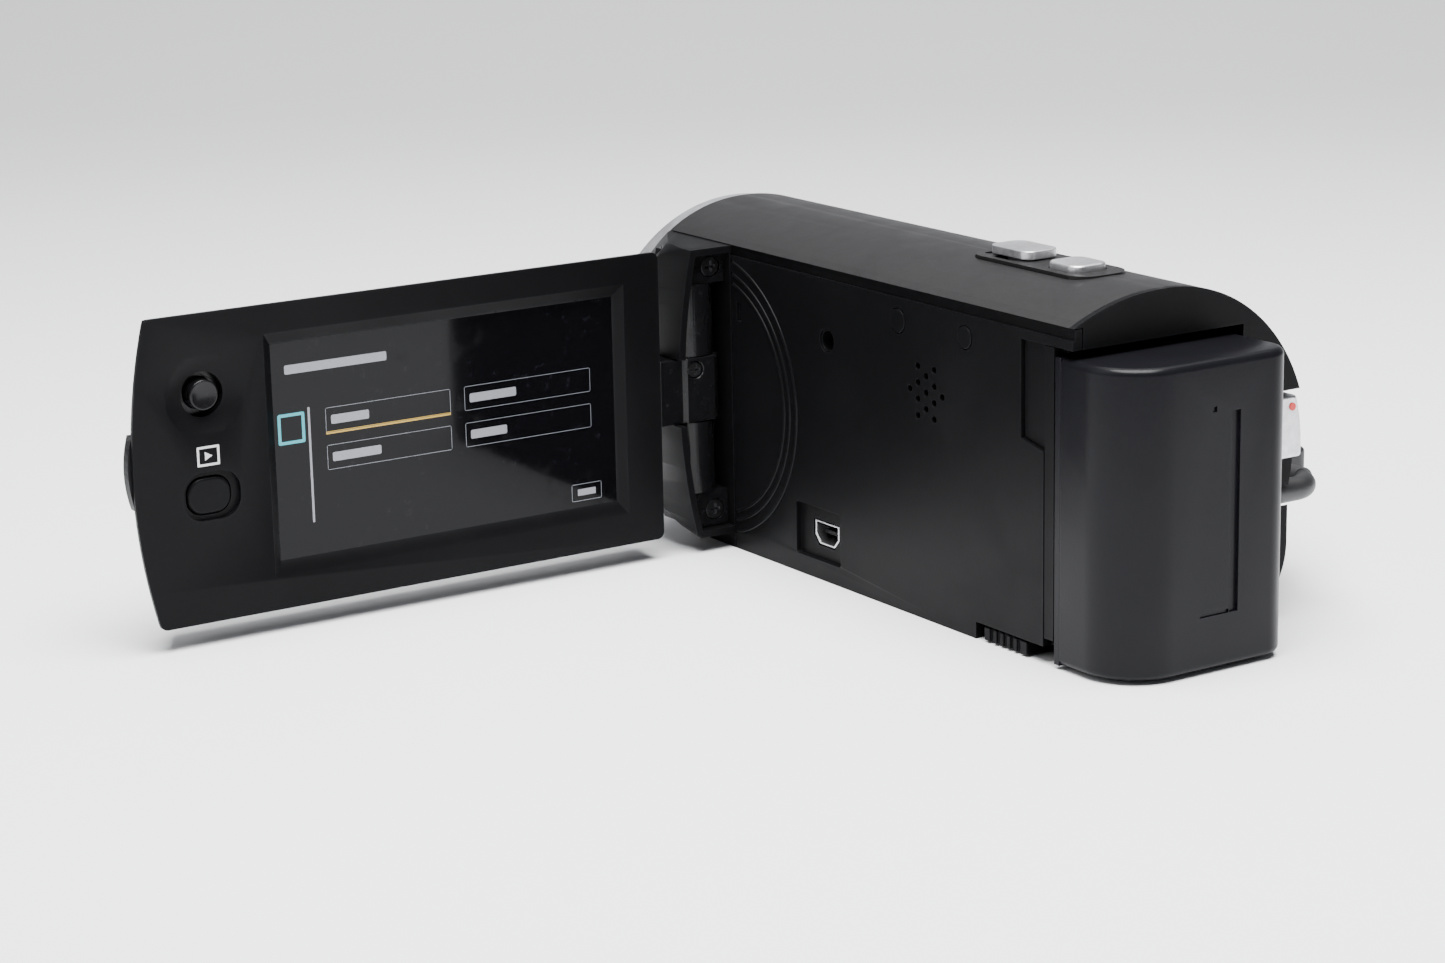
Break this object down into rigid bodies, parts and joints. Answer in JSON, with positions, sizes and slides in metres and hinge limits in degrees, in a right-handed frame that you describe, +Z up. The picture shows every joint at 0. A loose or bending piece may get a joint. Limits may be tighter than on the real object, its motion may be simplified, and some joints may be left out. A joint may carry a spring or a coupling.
{
  "type": "camcorder",
  "caption": "Compact hand-held camcorder with a round barrel body, swing-out swivelling display panel, rear battery pack, hand strap and tucked-in lead.",
  "frame": {"origin": "mouth of the tripod socket, in the base plane", "axes": "+Z up, lens faces -Y, display side is +X"},
  "size_m": [0.1686, 0.1244, 0.0557],
  "materials": {
    "cover_paint": "matte metallic graphite",
    "black_plastic": "fine matte",
    "gloss_black": "gloss",
    "silver_trim": "satin silver",
    "plain_steel": "satin",
    "black_screw": "blackened",
    "contact_brass": "plated",
    "chassis_metal": "bare",
    "circuit_board": "solder mask",
    "lens_glass": "coated",
    "display_cover": "dark display",
    "display_backing": "bare",
    "pack_plastic": "satin",
    "pack_cell": "bare can",
    "red_paint": "gloss",
    "lamp_lens": "translucent",
    "strap_web": "woven",
    "pad_cover": "padded cloth",
    "cord_rubber": "matte"
  },
  "bodies": {
    "body": {"front_housing": "black_plastic", "lens_ring": "silver_trim", "lens_bezel": "gloss_black", "mic_meshes": "plain_steel", "lens_barrel": "black_plastic", "front_element": "lens_glass", "rear_elements": "lens_glass", "image_sensor": "circuit_board", "top_cover": "cover_paint", "left_cover": "black_plastic", "right_cover": "black_plastic", "base_cover": "black_plastic", "rear_frame": "black_plastic", "body_terminals": "contact_brass", "inner_chassis": "chassis_metal", "main_board": "circuit_board", "tripod_insert": "plain_steel", "base_screws": "black_screw", "speaker": "black_plastic", "digital_socket": "plain_steel", "socket_tongue": "black_plastic", "phones_jack": "black_plastic", "hinge_cover": "gloss_black", "pocket_screws": "black_screw", "hinge_pin": "plain_steel", "control_pod": "cover_paint", "status_lamp": "lamp_lens", "strap_lugs": "black_screw", "hand_strap": "strap_web", "strap_pad": "pad_cover", "usb_lead": "cord_rubber", "usb_plug": "cord_rubber", "plug_shell": "plain_steel", "plug_sleeve": "strap_web"},
    "panel_arm": {"hinge_block": "gloss_black", "block_screw": "black_screw", "swivel_shaft": "plain_steel"},
    "display_panel": {"panel_shell": "cover_paint", "panel_bezel": "black_plastic", "display_module": "display_backing", "display_glass": "display_cover", "panel_board": "circuit_board", "panel_screws": "plain_steel"},
    "play_key": {"play_button": "black_plastic"},
    "stick_rocker": {"stick_gimbal": "plain_steel"},
    "stick": {"selector_stick": "gloss_black"},
    "upper_blade": {"shutter_upper": "black_plastic"},
    "lower_blade": {"shutter_lower": "black_plastic"},
    "zoom_control": {"zoom_lever": "silver_trim"},
    "photo_key": {"photo_button": "silver_trim"},
    "record_key": {"record_button": "silver_trim", "record_dot": "red_paint"},
    "power_key": {"power_button": "black_plastic"},
    "light_key": {"light_button": "black_plastic"},
    "battery": {"battery_case": "pack_plastic", "battery_lid": "pack_plastic", "battery_cell": "pack_cell", "battery_pads": "contact_brass"},
    "battery_catch": {"release_slider": "black_plastic"},
    "card_cover": {"card_door": "black_plastic"}
  },
  "joints": [
    {"name": "panel_hinge", "type": "hinge", "parent": "body", "child": "panel_arm", "pos_m": [0.0223, -0.0355, 0.027], "axis": [0, 0, -1], "range_deg": [-90, 0]},
    {"name": "panel_swivel", "type": "hinge", "parent": "panel_arm", "child": "display_panel", "pos_m": [0.0303, -0.0352, 0.027], "axis": [-1, 0, 0], "range_deg": [-180, 90]},
    {"name": "play_press", "type": "slide", "parent": "display_panel", "child": "play_key", "axis": [0, -1, 0], "range_m": [0, 0.0005], "stiffness_N_per_m": 400},
    {"name": "stick_updown", "type": "hinge", "parent": "display_panel", "child": "stick_rocker", "pos_m": [0.1089, -0.0349, 0.0381], "axis": [1, 0, 0], "range_deg": [-5, 5], "stiffness_Nm_per_rad": 0.004},
    {"name": "stick_sideways", "type": "hinge", "parent": "stick_rocker", "child": "stick", "pos_m": [0.1089, -0.0349, 0.0381], "axis": [0, 0, 1], "range_deg": [-5, 5], "stiffness_Nm_per_rad": 0.004},
    {"name": "shutter_drive", "type": "slide", "parent": "body", "child": "upper_blade", "axis": [0, 0, -1], "range_m": [0, 0.0086]},
    {"name": "shutter_follow", "type": "slide", "parent": "body", "child": "lower_blade", "axis": [0, 0, 1], "range_m": [0, 0.0086]},
    {"name": "zoom_slide", "type": "slide", "parent": "body", "child": "zoom_control", "axis": [1, 0, 0], "range_m": [-0.0022, 0.0022], "stiffness_N_per_m": 300},
    {"name": "photo_press", "type": "slide", "parent": "body", "child": "photo_key", "axis": [0, 0, -1], "range_m": [0, 0.0008], "stiffness_N_per_m": 500},
    {"name": "record_press", "type": "slide", "parent": "body", "child": "record_key", "axis": [0, -1, 0], "range_m": [0, 0.0008], "stiffness_N_per_m": 500},
    {"name": "power_press", "type": "slide", "parent": "body", "child": "power_key", "axis": [-1, 0, 0], "range_m": [0, 0.0006], "stiffness_N_per_m": 500},
    {"name": "light_press", "type": "slide", "parent": "body", "child": "light_key", "axis": [-1, 0, 0], "range_m": [0, 0.0006], "stiffness_N_per_m": 500},
    {"name": "battery_slide", "type": "slide", "parent": "body", "child": "battery", "axis": [0, 1, 0], "range_m": [0, 0.03]},
    {"name": "battery_release", "type": "slide", "parent": "body", "child": "battery_catch", "axis": [0, 1, 0], "range_m": [0, 0.0025], "stiffness_N_per_m": 300},
    {"name": "card_door_hinge", "type": "hinge", "parent": "body", "child": "card_cover", "pos_m": [-0.01085, 0.032, 0.0003], "axis": [0, 1, 0], "range_deg": [0, 100]}
  ],
  "couplings": [
    {"joint": "shutter_follow", "follows": "shutter_drive", "ratio": 1}
  ]
}
